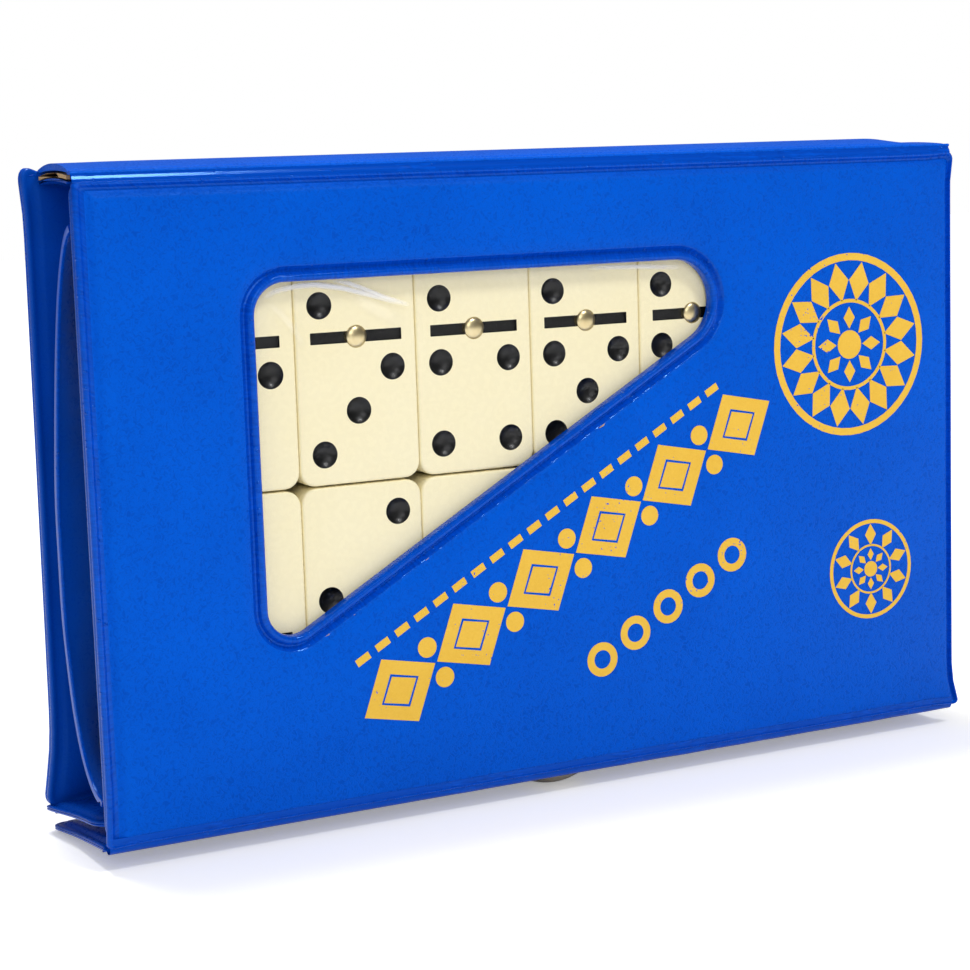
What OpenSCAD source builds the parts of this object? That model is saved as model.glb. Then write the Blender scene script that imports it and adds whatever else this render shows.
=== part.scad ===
// Wallet case for a double-six domino set, standing on its long edge, with the tiles inside.
// X runs along the case, Y away from the window side, Z up. The base is the lowest point.

/* [Tiles] */
// Length of a tile
tile_l = 55; // [44:0.5:58]
// Width of a tile
tile_w = 24.65; // [22:0.05:27]
// Thickness of a tile
tile_t = 10; // [8:0.5:12]
// Radius of a tile's corners, seen from its face
tile_corner = 3; // [1.5:0.5:4]
// Radius of a tile's long edges
tile_edge = 1; // [0.5:0.1:1.5]
// Gap between tiles side by side
tile_gap = 0.15; // [0.1:0.05:0.4]
// Gap between the upper and the lower row
row_gap = 0.4; // [0.3:0.1:3]
// Gap between the front and the back layer
layer_gap = 0.3; // [0.2:0.05:0.6]

/* [Tile faces] */
// Diameter of a pip
pip_d = 5.1; // [4:0.1:5.4]
// Depth of a pip
pip_depth = 0.9; // [0.5:0.1:1.2]
// Distance of the side pips from the centre line
pip_side = 7.3; // [6.5:0.1:8]
// Distance from the bar to the nearest pips
pip_first = 6.1; // [5.5:0.1:6.5]
// Distance between rows of pips
pip_pitch = 7.8; // [7:0.1:8.2]
// Length of the bar groove
bar_l = 18.7; // [15:0.1:20]
// Width of the bar groove
bar_w = 2.2; // [1.6:0.1:2.8]
// Depth of the bar groove
bar_depth = 0.6; // [0.3:0.1:1]
// Diameter of the pin's head
pin_head_d = 4; // [3:0.1:4.5]
// Diameter of the pin's shank
pin_shank_d = 1.6; // [1:0.1:2.4]
// Length of the pin's shank
pin_shank_l = 4; // [2:0.5:6]
// Height of the pin's head above the tile's face
pin_rise = 0.25; // [0.1:0.05:0.25]

/* [Case] */
// Space left of the rows, at the pocket's mouth
mouth_space = 16.9; // [10:0.1:20]
// Space right of the rows
end_space = 1.6; // [1.2:0.1:4]
// Space above the upper row, up to the front cover's top edge
head_space = 2.9; // [2.8:0.1:9]
// Space below the lower row, down to the front cover's lower edge
foot_space = 5; // [4.8:0.1:14]
// Thickness of a cover, board and both vinyl sheets
cover_t = 3; // [2.6:0.1:3.4]
// Thickness of the outer vinyl
skin_t = 0.6; // [0.5:0.05:0.8]
// Thickness of the inner vinyl
lining_t = 0.6; // [0.5:0.05:0.8]
// Width of the weld round a cover's board
weld_w = 3; // [2.6:0.1:4]
// Radius of a cover's corners
cover_corner = 2.5; // [1:0.5:5]
// Free depth between the tiles and the back cover, at the spine
back_space = 4.6; // [3.5:0.1:8]
// Lean of the back cover, in degrees
back_lean = 1.7; // [0:0.1:2.5]
// Width of the pressed groove inside an edge
groove_w = 0.9; // [0.5:0.1:1.2]
// Depth of the pressed groove
groove_depth = 0.3; // [0.1:0.05:0.4]
// Distance of the groove from the edge
groove_inset = 1.5; // [1.2:0.1:2]

/* [Window] */
// Distance of the window from the cover's left edge
win_left = 33; // [28:0.5:40]
// Distance of the window from the cover's top edge
win_top = 19.5; // [16:0.1:24]
// Width of the window
win_w = 98.5; // [80:0.5:105]
// Slope of the window's long side, in degrees
win_slope = 29.6; // [26:0.2:31]
// Radius of the window's upper left corner
win_r_corner = 6; // [4:0.5:8]
// Radius of the window's right tip
win_r_tip = 8.3; // [6:0.1:9]
// Radius of the window's lower tip
win_r_foot = 5.1; // [4:0.1:6]
// Distance of the pressed ring from the window's edge
ring_offset = 3.6; // [3:0.1:5]
// Width of the pressed ring
ring_w = 1.2; // [0.6:0.1:1.6]
// Thickness of the clear film
film_t = 0.3; // [0.2:0.05:0.3]
// Overlap of the film round the window
film_lap = 2; // [1:0.5:2.5]

/* [Spine] */
// Rise of the spine's bow
spine_rise = 2.3; // [1:0.1:3]
// Thickness of the spine's board
spine_board_t = 1.4; // [1:0.1:1.8]
// Radius of the folds along the spine
fold_r = 0.7; // [0.5:0.05:0.8]
// Distance from the front cover's face to the spine fold
fold_inset = 1.3; // [1:0.1:1.5]

/* [Flaps] */
// Thickness of a flap, board and both vinyl sheets
flap_t = 2.2; // [2:0.1:2.6]
// Thickness of a flap's vinyl
flap_vinyl_t = 0.5; // [0.4:0.05:0.6]
// Width of the weld round a flap's board
flap_weld_w = 2; // [1.5:0.1:3]
// Distance from the front cover's face to the closing flap's fold
flap_fold_inset = 1.675; // [1.5:0.025:1.8]
// Reach of the closing flap beyond the tiles' back
flap_overreach = 9.3; // [6:0.1:11]
// Slope of the flaps, in degrees
flap_slope = 5.5; // [4:0.1:6.5]
// Depth of the closing flap below the middle of its fold
flap_drop = 1.6; // [1.4:0.1:1.8]
// Gap between the closing flap and the stud strip
flap_gap = 1.6; // [1.5:0.05:2]
// Gap between the stud strip's tip and the front cover's lining
strip_tip_gap = 1.6; // [1:0.1:3]
// Radius of the stud strip's tip corners
strip_corner = 7; // [3:0.5:9]
// Radius of the closing flap's tip corners
flap_corner = 2.5; // [1:0.5:6]
// Radius of the front cover's lower fold
flap_fold_r = 0.85; // [0.7:0.05:0.9]
// Radius of the back cover's lower fold
strip_fold_r = 1; // [0.8:0.05:1.1]
// Thickness of the vinyl web between a fold and its flap
web_t = 0.7; // [0.6:0.05:0.8]
// Length of that web
web_l = 3; // [2.5:0.1:4]
// Depth to which the closing flap's web lies in its lower vinyl
web_bite = 0.15; // [0.1:0.05:0.3]

/* [Snap] */
// Distance of the snap from the closing flap's fold
snap_reach = 8.4; // [8:0.1:10]
// Diameter of the snap's cap
cap_d = 14; // [12:0.5:15]
// Diameter of the socket
socket_d = 10; // [8:0.5:10.5]
// Diameter of the socket's hole
socket_bore = 4.6; // [4.2:0.1:5]
// Thickness of the socket's floor
socket_floor = 0.5; // [0.3:0.1:0.6]
// Diameter of the stud's knob
stud_d = 3.8; // [3:0.1:4]
// Height of the stud's knob below the strip
stud_h = 0.85; // [0.6:0.05:0.9]
// Diameter of the stud's base and of its rivet's cap
stud_base_d = 9; // [7:0.5:10]
// Height of the rivet's cap
rivet_h = 0.7; // [0.4:0.1:1]
// Diameter of the snap's shanks
shank_d = 2.6; // [2:0.1:2.8]
// Diameter of the spring's wires
spring_wire = 0.4; // [0.3:0.05:0.5]
// Length of the spring's wires
spring_l = 6; // [5:0.5:7]

/* [Pocket] */
// Thickness of the pocket's sheet
sheet_t = 0.6; // [0.4:0.05:0.8]
// Depth of the pocket's mouth, from the front cover's lining
mouth_depth = 17; // [12:0.5:18]
// Share by which the mouth is fuller below than above
mouth_sag = 0.25; // [0:0.05:0.3]
// Narrowing of the mouth at its upper end
mouth_upper = 6; // [2:0.5:8]
// Narrowing of the mouth at its lower end
mouth_lower = 2.4; // [0:0.1:4]
// Radius of the filled pocket's long edges
pocket_round = 1.5; // [1.2:0.1:1.6]
// Width of the hem along the mouth
hem_w = 4; // [3:0.5:6]
// Thickness that the hem adds
hem_t = 0.5; // [0.3:0.1:0.8]
// Gap between the sheet and its hem
hem_gap = 0.2; // [0.1:0.05:0.3]
// Width of the sheet's welded margin
margin_w = 1.3; // [1:0.1:1.4]

/* [Clearances] */
// Gap between a tile and the lining in front of it
tile_clear = 0.3; // [0.2:0.05:0.5]
// Gap between the tiles and the pocket's sheet
sheet_clear = 0.4; // [0.3:0.05:0.6]
// Running gap at a fold
fold_clear = 0.3; // [0.2:0.05:0.5]
// Gap round a board inside its sheets
board_clear = 0.1; // [0.05:0.05:0.2]

/* [Hidden] */
$fn = 48;
fine_facets = 240;
lap = 0.01;

// Tiles of each row, left to right: pips of the upper half, then of the lower half
FRONT_UPPER = [[2, 2], [2, 3], [2, 4], [2, 5], [2, 6], [3, 3], [3, 4]];
FRONT_LOWER = [[1, 0], [2, 0], [3, 0], [4, 0], [5, 0], [6, 0], [0, 0]];
BACK_UPPER = [[1, 1], [1, 2], [1, 3], [1, 4], [1, 5], [1, 6], [3, 5]];
BACK_LOWER = [[3, 6], [4, 4], [4, 5], [4, 6], [5, 5], [5, 6], [6, 6]];

// Pip places of each value, in steps from the middle of a half: sideways, then up
PIPS = [
    [],
    [[0, 0]],
    [[-1, -1], [1, 1]],
    [[-1, -1], [0, 0], [1, 1]],
    [[-1, -1], [-1, 1], [1, -1], [1, 1]],
    [[-1, -1], [-1, 1], [0, 0], [1, -1], [1, 1]],
    [[-1, -1], [-1, 0], [-1, 1], [1, -1], [1, 0], [1, 1]]
];

function tile_name(halves) = str("tile_", halves[0], "_", halves[1]);
function row_names(row) = [for (halves = row) tile_name(halves)];

// Overall width follows the rows of tiles
columns = len(FRONT_UPPER);
pitch = tile_w + tile_gap;
cover_w = mouth_space + columns * pitch + end_space;
left_x = -cover_w / 2;
rows_x = left_x + mouth_space;

// Side view in (y, z), with y from the front cover's face and z from the base
front_layer_y = cover_t + tile_clear;
back_layer_y = front_layer_y + tile_t + layer_gap;
tiles_back_y = back_layer_y + tile_t;
spine_span = tiles_back_y + back_space + cover_t / 2 - fold_inset;
flap_reach = (tiles_back_y + flap_overreach - flap_fold_inset) / cos(flap_slope);
flap_fold_z = flap_reach * sin(flap_slope) + flap_drop * cos(flap_slope);
cover_low_z = flap_fold_z + flap_fold_r + fold_clear;
lower_row_z = cover_low_z + foot_space;
upper_row_z = lower_row_z + tile_l + row_gap;
cover_high_z = upper_row_z + tile_l + head_space;
cover_h = cover_high_z - cover_low_z;
spine_fold_z = cover_high_z + fold_clear + fold_r;
back_fold_y = fold_inset + spine_span;

// The stud strip lies flap_gap above the closing flap and slopes with it
flap_top = flap_t - flap_drop;
strip_level = flap_top + flap_gap + flap_t / 2;
fold_above_flap = (back_fold_y - flap_fold_inset) * sin(flap_slope)
    + (spine_fold_z - flap_fold_z) * cos(flap_slope);
strip_fold_d = (fold_above_flap - strip_level) / cos(back_lean + flap_slope);
strip_fold_y = back_fold_y + strip_fold_d * sin(back_lean);
strip_fold_z = spine_fold_z - strip_fold_d * cos(back_lean);
strip_reach = (strip_fold_y - cover_t - strip_tip_gap) / cos(flap_slope);
snap_on_strip = (strip_fold_y - flap_fold_inset) * cos(flap_slope)
    - (strip_fold_z - flap_fold_z) * sin(flap_slope) - snap_reach;

// The back cover runs between its two folds
back_high_d = fold_r + fold_clear;
back_low_d = strip_fold_d - strip_fold_r - fold_clear;
back_h = back_low_d - back_high_d;

// Depth over all, which centres the model
overall_depth = back_fold_y + cover_t / 2 * cos(back_lean) + back_low_d * sin(back_lean);

// Cap's height, so that its dome just reaches the base
cap_drop = (flap_reach - snap_reach) * sin(flap_slope);
cap_lift = cap_d / 2 * sin(flap_slope);
cap_h = (cap_drop + sqrt(cap_drop * cap_drop - cap_lift * cap_lift)) / (1 + cos(flap_slope));
cap_sphere_r = dome_r(cap_d / 2, cap_h);

// Window in the cover's own view: x from its left edge, z from its top edge
win_normal = [sin(win_slope), -cos(win_slope)];
corner_c = [win_left + win_r_corner, -win_top - win_r_corner];
tip_c = [win_left + win_w - win_r_tip, -win_top - win_r_tip];
foot_x = win_left + win_r_foot;
foot_z = tip_c[1] + ((foot_x - tip_c[0]) * win_normal[0] - win_r_tip + win_r_foot) / -win_normal[1];
foot_c = [foot_x, foot_z];

// Sphere radius of a dome of base radius a and height h
function dome_r(a, h) = (a * a + h * h) / (2 * h);
function blend(a, b, share) = a + (b - a) * share;
function arc(centre, r, from, to) = [for (i = [0 : arc_steps])
    let (a = blend(from, to, i / arc_steps)) centre + r * [cos(a), sin(a)]];
function ease(share) = share * share * (3 - 2 * share);

// Places in the side view
module at_side(y, z) translate([0, y - overall_depth / 2, z]) children();
module on_back() at_side(back_fold_y, spine_fold_z) rotate([back_lean, 0, 0]) children();
module on_spine() at_side(fold_inset, spine_fold_z) children();
module on_flap() at_side(flap_fold_inset, flap_fold_z) rotate([-flap_slope, 0, 0]) children();
module on_strip() at_side(strip_fold_y, strip_fold_z) rotate([-flap_slope, 0, 0]) children();

// Stands a flat outline up in (x, z), from y to y + depth
module upright(y, depth)
    translate([0, y + depth, 0]) rotate([90, 0, 0]) linear_extrude(depth) children();
// Lays a flat outline in (x, y), from z to z + height
module level(z, height) translate([0, 0, z]) linear_extrude(height) children();
// Runs an outline in (y, z) along the whole case
module along_case(length = cover_w)
    rotate([90, 0, 90]) translate([0, 0, -length / 2]) linear_extrude(length) children();

// Rectangle from its lower left corner, with rounded corners
module rounded(w, h, r) {
    translate([r, 0]) square([w - 2 * r, h]);
    translate([0, r]) square([w, h - 2 * r]);
    for (x = [r, w - r], y = [r, h - r]) translate([x, y]) circle(r);
}
// Rectangle with two rounded corners at its far side
module tongue(w, h, r) {
    translate([r, 0]) square([w - 2 * r, h]);
    square([w, h - r]);
    for (x = [r, w - r]) translate([x, h - r]) circle(r);
}
module cover_outline(h, inset = 0)
    translate([left_x + inset, inset]) rounded(cover_w - 2 * inset, h - 2 * inset, cover_corner);

// Window grown by a margin: three arcs, joined by the straight sides that touch them
arc_steps = 12;
long_side_angle = win_slope - 90;
module window_outline(margin = 0)
    translate([left_x, cover_h]) polygon(concat(
        arc(corner_c, win_r_corner + margin, 180, 90),
        arc(tip_c, win_r_tip + margin, 90, long_side_angle),
        arc(foot_c, win_r_foot + margin, long_side_angle, -180)
    ));

// Groove pressed along the inside of an outline's edge
module edge_groove(w, h, r)
    difference() {
        translate([groove_inset, groove_inset])
            rounded(w - 2 * groove_inset, h - 2 * groove_inset, r);
        translate([groove_inset + groove_w, groove_inset + groove_w])
            rounded(w - 2 * (groove_inset + groove_w), h - 2 * (groove_inset + groove_w), r);
    }

board_inset = weld_w + board_clear;
half_cover = cover_t / 2;
board_gap_t = cover_t - skin_t - lining_t;

module front_skin() color("#0A50C8") at_side(0, cover_low_z) difference() {
    upright(0, half_cover) cover_outline(cover_h);
    upright(skin_t, half_cover) difference() {
        cover_outline(cover_h, weld_w);
        window_outline(weld_w);
    }
    upright(-lap, half_cover + 2 * lap) window_outline();
    upright(-lap, groove_depth + lap) translate([left_x, 0]) edge_groove(cover_w, cover_h, cover_corner);
    upright(-lap, groove_depth + lap) difference() {
        window_outline(ring_offset + ring_w);
        window_outline(ring_offset);
    }
}

module front_board() color("#B89468") at_side(0, cover_low_z)
    upright(skin_t, board_gap_t) difference() {
        cover_outline(cover_h, board_inset);
        window_outline(board_inset);
    }

module front_lining() color("#0A3C96") at_side(0, cover_low_z) difference() {
    upright(half_cover, half_cover) cover_outline(cover_h);
    upright(half_cover - lap, half_cover - lining_t + lap) difference() {
        cover_outline(cover_h, weld_w);
        window_outline(weld_w);
    }
    upright(half_cover - lap, half_cover + 2 * lap) window_outline();
    upright(cover_t - film_t, film_t + lap) window_outline(film_lap);
}

module window_film() color("#DCE8F0", 0.35) at_side(0, cover_low_z)
    upright(cover_t - film_t, film_t) window_outline(film_lap);

// Pocket: the sheet's side view changes from a lens at the mouth to a box round the tiles
pocket_high = upper_row_z + tile_l + sheet_clear;
pocket_low = lower_row_z - sheet_clear;
pocket_depth = tiles_back_y + sheet_clear - cover_t;
wall_steps = 4;
round_steps = 3;
flat_steps = 12;
path_steps = 2 * wall_steps + 2 * round_steps + flat_steps;
taper_steps = 4;
// Filled pocket at step j, grown by o, as [depth, z]
function box_point(j, o) =
    let (r = pocket_round + o, depth = pocket_depth + o, high = pocket_high + o, low = pocket_low - o,
         k = min(j, path_steps - j), z = j <= path_steps / 2 ? high : low, inward = z == high ? -1 : 1)
    k <= wall_steps ? [(depth - r) * k / wall_steps, z]
    : k <= wall_steps + round_steps ?
        let (a = 90 * (k - wall_steps) / round_steps) [depth - r + r * sin(a), z + inward * r * (1 - cos(a))]
    : [depth, blend(high - r, low + r, (j - wall_steps - round_steps) / flat_steps)];
// Lens of the mouth at step j, grown by o
function lens_point(j, o) =
    let (a = 180 * j / path_steps, high = pocket_high - mouth_upper + o, low = pocket_low + mouth_lower - o,
         middle = (high + low) / 2)
    [(mouth_depth + o) * sin(a) * (1 - mouth_sag * cos(a)), middle + (high - low) / 2 * cos(a)];
function sheet_point(j, o, share) = blend(lens_point(j, o), box_point(j, o), share);
// Sections are closed rings of points: an inner path, then an outer path of as many points back
function placed(x, p) = [x, cover_t + p[0], p[1]];
// Section of the sheet at x, with its welded margins
function sheet_ring(share, x) =
    ring_of([for (j = [0 : path_steps]) placed(x, sheet_point(j, 0, share))], share, x, x);
// Section of the pocket's end, whose inner path lies flat on the lining
function end_ring(x_in, x_out) = ring_of(
    [for (j = [0 : path_steps]) placed(x_in, [0, blend(pocket_high, pocket_low, j / path_steps)])],
    1, x_in, x_out);
function ring_of(inner, share, x_in, x_out) =
    let (high = sheet_point(0, sheet_t, share)[1], low = sheet_point(path_steps, sheet_t, share)[1])
    concat(
        [placed(x_in, [0, high + margin_w])], inner,
        [placed(x_in, [0, low - margin_w]), placed(x_out, [sheet_t, low - margin_w])],
        [placed(x_out, [sheet_t, low])],
        [for (j = [path_steps - 1 : -1 : 1]) placed(x_out, sheet_point(j, sheet_t, share))],
        [placed(x_out, [sheet_t, high]), placed(x_out, [sheet_t, high + margin_w])]
    );
// Section of the hem at x, which lies on the sheet's outer face and ends on its margins
function hem_point(j, o, share) =
    let (p = sheet_point(j, o, share)) [max(p[0], sheet_t), p[1]];
function hem_ring(share, x) = concat(
    [for (j = [0 : path_steps]) placed(x, hem_point(j, sheet_t + hem_gap, share))],
    [for (j = [path_steps : -1 : 0]) placed(x, hem_point(j, sheet_t + hem_gap + hem_t, share))]
);
// Joins sections into one skin, and closes it with strips across its first and last section
module swept(rings) {
    n = len(rings[0]);
    last = (len(rings) - 1) * n;
    sides = [for (i = [0 : len(rings) - 2]) for (j = [0 : n - 1]) let (k = (j + 1) % n)
        each [[i * n + j, i * n + k, (i + 1) * n + k], [i * n + j, (i + 1) * n + k, (i + 1) * n + j]]];
    strips = [for (j = [0 : n / 2 - 2]) each [[j, n - 2 - j, j + 1], [j, n - 1 - j, n - 2 - j]]];
    far_strips = [for (s = strips) [last + s[0], last + s[2], last + s[1]]];
    polyhedron([for (ring = rings) each ring], concat(sides, strips, far_strips));
}

filled_x = rows_x - sheet_clear;
sheet_end_x = rows_x + columns * pitch + sheet_clear;
// Share of the way from the mouth's lens to the filled box, at x
function fill_share(x) = ease((x - left_x) / (filled_x - left_x));

// Places of the sections: the mouth and the hem, then on to the filled part
hem_places = [left_x, left_x + hem_w / 2, left_x + hem_w];
taper_places = [for (i = [1 : taper_steps]) blend(left_x + hem_w, filled_x, i / taper_steps)];

module pocket_sheet() color("#1446B4") at_side(0, 0)
    swept(concat(
        [for (x = concat(hem_places, taper_places)) sheet_ring(fill_share(x), x)],
        [sheet_ring(1, sheet_end_x), end_ring(sheet_end_x, sheet_end_x + sheet_t / 2)],
        [end_ring(sheet_end_x + sheet_t, sheet_end_x + sheet_t)]
    ));

module pocket_hem() color("#1E5AD2") at_side(0, 0)
    swept([for (x = hem_places) hem_ring(fill_share(x), x)]);

// Spine: an arc through both folds
spine_outer_r = dome_r(spine_span / 2, spine_rise);
skin_end = spine_span - fold_r - fold_clear;
inner_start = cover_t - fold_inset + fold_clear + fold_r / 2;
inner_end = spine_span - half_cover - fold_clear;
// Layer of the bow between two depths below its outer face, from one place to another
module bow(depth, thickness, start, end) {
    centre = [spine_span / 2, fold_r + spine_rise - spine_outer_r];
    along_case() intersection() {
        translate(centre) difference() {
            circle(spine_outer_r - depth, $fn = fine_facets);
            circle(spine_outer_r - depth - thickness, $fn = fine_facets);
        }
        translate([start, -cover_t]) square([end - start, cover_t + fold_r + spine_rise]);
    }
}
module spine_skin() color("#0A50C8") on_spine() {
    bow(0, skin_t, 0, skin_end);
    along_case() circle(fold_r);
}
module spine_board() color("#B89468") on_spine()
    bow(skin_t, spine_board_t - board_clear, inner_start + board_clear, inner_end - board_clear);
module spine_lining() color("#0A3C96") on_spine()
    bow(skin_t + spine_board_t, lining_t, inner_start, inner_end);

// Back cover: its outline hangs from the fold, and its outer face looks away from the window
module on_back_sheet() on_back() translate([0, 0, -back_low_d]) children();
module back_skin() color("#0A50C8") {
    on_back_sheet() difference() {
        upright(0, half_cover) cover_outline(back_h);
        upright(-lap, half_cover - skin_t + lap) cover_outline(back_h, weld_w);
        upright(half_cover - groove_depth, groove_depth + lap)
            translate([left_x, 0]) edge_groove(cover_w, back_h, cover_corner);
    }
    on_back() along_case() {
        circle(fold_r);
        translate([0, -back_high_d - weld_w / 2])
            square([half_cover - groove_depth, back_high_d + weld_w / 2]);
    }
}
module back_board() color("#B89468") on_back_sheet()
    upright(lining_t - half_cover, board_gap_t) cover_outline(back_h, board_inset);
module back_lining() color("#0A3C96") on_back_sheet() difference() {
    upright(-half_cover, half_cover) cover_outline(back_h);
    upright(lining_t - half_cover, half_cover) cover_outline(back_h, weld_w);
}

// A flap's outline, from the end of its web to its tip, drawn forward along y
module flap_outline(reach, r, inset = 0)
    translate([left_x + inset, web_l + inset])
        tongue(cover_w - 2 * inset, reach - web_l - 2 * inset, r);
flap_board_t = flap_t - 2 * flap_vinyl_t;
flap_board_inset = flap_weld_w + board_clear;
// Lower and upper vinyl of a flap, with its base at z
module lower_vinyl(z, reach, r) difference() {
    level(z, flap_t / 2) flap_outline(reach, r);
    level(z + flap_vinyl_t, flap_t / 2) flap_outline(reach, r, flap_weld_w);
}
module upper_vinyl(z, reach, r) difference() {
    level(z + flap_t / 2, flap_t / 2) flap_outline(reach, r);
    level(z + flap_t / 2 - lap, flap_t / 2 - flap_vinyl_t + lap) flap_outline(reach, r, flap_weld_w);
}
module fold_web(r, low) {
    along_case() circle(r);
    translate([left_x, 0, low]) cube([cover_w, web_l, web_t]);
}
module shank_hole(y, z, height, d = shank_d)
    translate([0, y, z - lap]) cylinder(h = height + 2 * lap, d = d);

// The strip is drawn toward +y and turned to face the front cover
strip_base = -flap_t / 2;
module strip_frame() on_strip() mirror([0, 1, 0]) children();
module strip_skin() color("#0A50C8") strip_frame() {
    difference() {
        lower_vinyl(strip_base, strip_reach, strip_corner);
        shank_hole(snap_on_strip, strip_base, flap_vinyl_t, stud_base_d);
    }
    fold_web(strip_fold_r, -web_t / 2);
}
module strip_board() color("#B89468") strip_frame() difference() {
    level(strip_base + flap_vinyl_t, flap_board_t) flap_outline(strip_reach, strip_corner, flap_board_inset);
    shank_hole(snap_on_strip, strip_base, flap_t);
}
module strip_lining() color("#0A3C96") strip_frame() difference() {
    upper_vinyl(strip_base, strip_reach, strip_corner);
    shank_hole(snap_on_strip, strip_base, flap_t);
}
stud_lip = stud_h / 4;
stud_waist = stud_d / 2 - stud_lip;
// Flat base in the vinyl, and a knob with a waist
module snap_stud() color("#C8C8C4") strip_frame() translate([0, snap_on_strip, strip_base]) {
    cylinder(h = flap_vinyl_t, d = stud_base_d);
    rotate_extrude() polygon([
        [0, -stud_h], [stud_waist, -stud_h], [stud_d / 2, stud_lip - stud_h],
        [stud_d / 2, -2 * stud_lip], [stud_waist, -stud_lip], [stud_waist, lap], [0, lap]
    ]);
}
module stud_rivet() color("#C8C8C4") strip_frame()
translate([0, snap_on_strip, strip_base + flap_vinyl_t]) {
    cylinder(h = flap_t - flap_vinyl_t, d = shank_d);
    translate([0, 0, flap_t - flap_vinyl_t]) dome(stud_base_d, rivet_h);
}
// Spherical cap standing on z = 0
module dome(d, h) intersection() {
    translate([0, 0, h - dome_r(d / 2, h)]) sphere(dome_r(d / 2, h), $fn = fine_facets);
    cylinder(h = h, d = d);
}

flap_base = -flap_drop;
socket_seat = flap_base + flap_vinyl_t;
socket_h = flap_t - flap_vinyl_t;
module flap_skin() color("#0A50C8") on_flap() {
    difference() {
        lower_vinyl(flap_base, flap_reach, flap_corner);
        shank_hole(snap_reach, flap_base, flap_vinyl_t);
        shank_hole(snap_reach, socket_seat, flap_t, socket_d + board_clear);
    }
    fold_web(flap_fold_r, flap_t / 2 - flap_drop - web_bite);
}
module flap_board() color("#B89468") on_flap() difference() {
    level(socket_seat, flap_board_t) flap_outline(flap_reach, flap_corner, flap_board_inset);
    shank_hole(snap_reach, socket_seat, flap_board_t, socket_d);
}
module flap_lining() color("#0A3C96") on_flap() difference() {
    upper_vinyl(flap_base, flap_reach, flap_corner);
    shank_hole(snap_reach, flap_base, flap_t, socket_d);
}
module snap_cap() color("#D2D2CE") on_flap() translate([0, snap_reach, flap_base]) {
    mirror([0, 0, 1]) dome(cap_d, cap_h);
    cylinder(h = flap_vinyl_t + socket_floor, d = shank_d);
}
spring_side = stud_d / 2 - spring_wire / 2;
spring_z = socket_floor + spring_wire;
module spring_wires(d) for (side = [-1, 1])
    translate([-spring_l / 2, side * spring_side, spring_z]) rotate([0, 90, 0]) cylinder(h = spring_l, d = d);
module snap_socket() color("#C8C8C4") on_flap() translate([0, snap_reach, socket_seat]) difference() {
    cylinder(h = socket_h, d = socket_d);
    translate([0, 0, socket_floor]) cylinder(h = socket_h, d = socket_bore);
    translate([0, 0, -lap]) cylinder(h = socket_h, d = shank_d);
    spring_wires(spring_wire);
}
module snap_spring() color("#A0A0A0") on_flap() translate([0, snap_reach, socket_seat])
    spring_wires(spring_wire);

// Tile lying with its face up, its lower left corner at the origin
module tile_blank() intersection() {
    linear_extrude(tile_t) rounded(tile_w, tile_l, tile_corner);
    translate([0, tile_l, 0]) rotate([90, 0, 0]) linear_extrude(tile_l) rounded(tile_w, tile_t, tile_edge);
    rotate([90, 0, 90]) linear_extrude(tile_w) rounded(tile_l, tile_t, tile_edge);
}
pip_sphere_r = dome_r(pip_d / 2, pip_depth);
pin_seat = bar_depth;
module pips(value, middle_y) for (step = PIPS[value])
    translate([tile_w / 2 + step[0] * pip_side, middle_y + step[1] * pip_pitch,
               tile_t - pip_depth + pip_sphere_r]) sphere(pip_sphere_r);
module tile_solid(halves) {
    middle = pip_first + pip_pitch;
    difference() {
        tile_blank();
        pips(halves[0], tile_l / 2 + middle);
        pips(halves[1], tile_l / 2 - middle);
        translate([(tile_w - bar_l) / 2, (tile_l - bar_w) / 2, tile_t - bar_depth])
            cube([bar_l, bar_w, bar_depth + lap]);
        translate([tile_w / 2, tile_l / 2, tile_t - bar_depth - pin_shank_l])
            cylinder(h = pin_shank_l + bar_depth + lap, d = pin_shank_d);
        translate([tile_w / 2, tile_l / 2, tile_t - pin_seat]) cylinder(h = pin_seat + lap, d = pin_head_d);
    }
}
// Turns a lying tile so that its face looks to the window, in its column, row and layer
module stand_tile(column, z, back_y) at_side(back_y, z)
    translate([rows_x + column * pitch + tile_gap / 2, 0, 0]) rotate([90, 0, 0]) children();
module tile_in_row(row, name, z, y) for (column = [0 : columns - 1])
    if (tile_name(row[column]) == name)
        color("#F5F0D2") stand_tile(column, z, y + tile_t) tile_solid(row[column]);
module pin_row(z, y) color("#D8BE78") for (column = [0 : columns - 1])
    stand_tile(column, z, y + tile_t) translate([tile_w / 2, tile_l / 2, tile_t - pin_seat]) {
        cylinder(h = pin_seat, d = pin_head_d);
        translate([0, 0, -pin_shank_l]) cylinder(h = pin_shank_l, d = pin_shank_d);
        translate([0, 0, pin_seat]) dome(pin_head_d, pin_rise);
    }
module pins_front_upper() pin_row(upper_row_z, front_layer_y);
module pins_front_lower() pin_row(lower_row_z, front_layer_y);
module pins_back_upper() pin_row(upper_row_z, back_layer_y);
module pins_back_lower() pin_row(lower_row_z, back_layer_y);

front_skin();
front_board();
front_lining();
window_film();
pocket_sheet();
pocket_hem();
spine_skin();
spine_board();
spine_lining();
back_skin();
back_board();
back_lining();
strip_skin();
strip_board();
strip_lining();
snap_stud();
stud_rivet();
flap_skin();
flap_board();
flap_lining();
snap_cap();
snap_socket();
snap_spring();
pins_front_upper();
pins_front_lower();
pins_back_upper();
pins_back_lower();
for (halves = FRONT_UPPER) tile_in_row(FRONT_UPPER, tile_name(halves), upper_row_z, front_layer_y);
for (halves = FRONT_LOWER) tile_in_row(FRONT_LOWER, tile_name(halves), lower_row_z, front_layer_y);
for (halves = BACK_UPPER) tile_in_row(BACK_UPPER, tile_name(halves), upper_row_z, back_layer_y);
for (halves = BACK_LOWER) tile_in_row(BACK_LOWER, tile_name(halves), lower_row_z, back_layer_y);
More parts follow.
